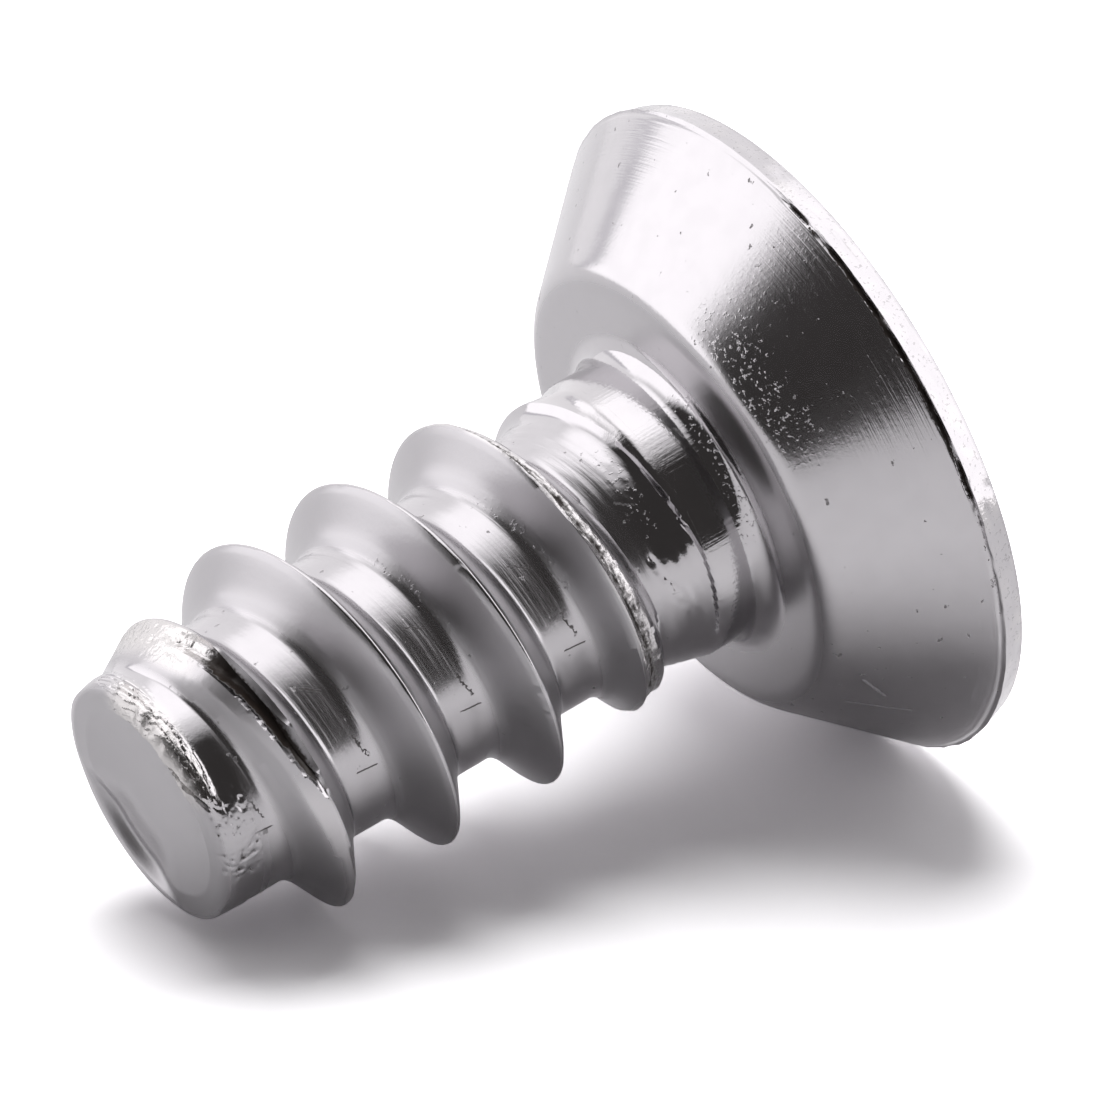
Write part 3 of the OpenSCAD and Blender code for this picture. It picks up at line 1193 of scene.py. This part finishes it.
# %% [markdown]
# ## Studio
# Bright metal has little colour of its own: it shows the room. The room here is a white tent that is
# open and dark on the camera's side, which gives the screw its dark bands. The world shader makes
# that tent from the direction of a ray alone, and lights the floor with a small share of it. One wide
# lamp from behind throws the soft shadow forward. The floor has a whiter colour for the camera than
# for the metal that mirrors it: the background is white, the shadow stays, and the lamp stays plain.

# %% Tent
tent_white = (1.68, 1.65, 1.68, 1)
tent_back = (1.15, 1.13, 1.15, 1)
tent_roof = (0.95, 0.935, 0.95, 1)
tent_seam = (0.8, 0.785, 0.82, 1)
tent_dark = (0.045, 0.042, 0.041, 1)
opening_half_angle = 68
opening_soft_angle = 9
opening_height = 67
opening_soft_height = 9
seam_azimuth = -130
lamp_from = Vector((0.12, 0.32, 1.0)).normalized()
softbox_angle = 23
fill_share = 0.22

world = bpy.data.worlds.new("studio")
bpy.context.scene.world = world
world.use_nodes = True
tent = world.node_tree
direction = add_node(tent, "ShaderNodeTexCoord").outputs["Generated"]
parts = add_node(tent, "ShaderNodeSeparateXYZ")
tent.links.new(direction, parts.inputs["Vector"])
forward = Vector((to_camera.x, to_camera.y, 0)).normalized()
east, north, up = (parts.outputs[name] for name in "XYZ")
along = total(tent, product(tent, east, forward.x), product(tent, north, forward.y))
across = total(tent, product(tent, east, -forward.y), product(tent, north, forward.x))
azimuth = calc(tent, "DEGREES", calc(tent, "ARCTAN2", across, along))
elevation = calc(tent, "DEGREES", calc(tent, "ARCSINE", up))
aside = calc(tent, "ABSOLUTE", azimuth)
beside = rise(tent, aside, opening_half_angle - opening_soft_angle, opening_half_angle + opening_soft_angle)
above = rise(tent, elevation, opening_height - opening_soft_height, opening_height + opening_soft_height)
covered = calc(tent, "MAXIMUM", beside, above)
right_wall = product(
    tent, between(tent, azimuth, 60, 80, 150, 172), rise(tent, elevation, 55, 65, 1.0, 0.0)
)
roof = product(tent, rise(tent, elevation, 36, 58), calc(tent, "SUBTRACT", 1.0, right_wall))
back = calc(tent, "MAXIMUM", rise(tent, azimuth, -137, -128, 1.0, 0.0), rise(tent, azimuth, 150, 172))
from_seam = calc(tent, "ABSOLUTE", calc(tent, "SUBTRACT", azimuth, seam_azimuth))
seam = product(tent, rise(tent, from_seam, 1.5, 6, 1.0, 0.0), rise(tent, elevation, 25, 45, 1.0, 0.0))
to_lamp = total(
    tent,
    product(tent, east, lamp_from.x),
    product(tent, north, lamp_from.y),
    product(tent, up, lamp_from.z),
)
softbox_edges = [math.cos(math.radians(softbox_angle + soft)) for soft in (9, -9)]
softbox = rise(tent, to_lamp, *softbox_edges)
cloth = blend_colour(tent, back, tent_white, tent_back)
cloth = blend_colour(tent, roof, cloth, tent_roof)
cloth = blend_colour(tent, seam, cloth, tent_seam)
cloth = blend_colour(tent, softbox, cloth, tent_white)
background = tent.nodes["Background"]
tent.links.new(blend_colour(tent, covered, tent_dark, cloth), background.inputs["Color"])
light_path = add_node(tent, "ShaderNodeLightPath")
fill = rise(tent, light_path.outputs["Is Diffuse Ray"], 0, 1, 1.0, fill_share)
tent.links.new(fill, background.inputs["Strength"])
backdrop = add_node(tent, "ShaderNodeBackground")
backdrop.inputs["Color"].default_value = (1, 1, 1, 1)
seen = add_node(tent, "ShaderNodeMixShader")
tent.links.new(light_path.outputs["Is Camera Ray"], seen.inputs["Fac"])
tent.links.new(background.outputs["Background"], seen.inputs[1])
tent.links.new(backdrop.outputs["Background"], seen.inputs[2])
tent.links.new(seen.outputs["Shader"], tent.nodes["World Output"].inputs["Surface"])
print("tent:", len(tent.nodes), "nodes")

# %% Soft lamp
lamp_distance = 0.1
lamp_width = 0.085
lamp_power = 0.081
lamp_data = bpy.data.lights.new("soft_lamp", "AREA")
lamp_data.shape = "DISK"
lamp_data.size = lamp_width
lamp_data.energy = lamp_power
lamp = bpy.data.objects.new("soft_lamp", lamp_data)
lamp.location = lamp_from * lamp_distance
lamp.rotation_euler = lamp_from.to_track_quat("Z", "Y").to_euler()
lamp.visible_glossy = False
bpy.context.scene.collection.objects.link(lamp)

# %% Floor
start_clean()
bpy.ops.mesh.primitive_plane_add(size=0.1, location=(0, 0, 0))
floor = bpy.context.object
floor.name = "floor"
floor_paint = bpy.data.materials.new("pale_floor")
floor_paint.use_nodes = True
paint = floor_paint.node_tree.nodes["Principled BSDF"]
seen_colour = (1.9, 1.88, 1.91, 1)
mirrored_colour = (0.95, 0.94, 0.955, 1)
floor_tree = floor_paint.node_tree
floor_path = add_node(floor_tree, "ShaderNodeLightPath")
floor_colour = blend_colour(floor_tree, floor_path.outputs["Is Camera Ray"], mirrored_colour, seen_colour)
floor_tree.links.new(floor_colour, paint.inputs["Base Color"])
paint.inputs["Roughness"].default_value = 0.9
floor.data.materials.append(floor_paint)
print("floor:", [round(side, 3) for side in floor.dimensions])

# %% View settings
bpy.context.scene.view_settings.view_transform = "Standard"
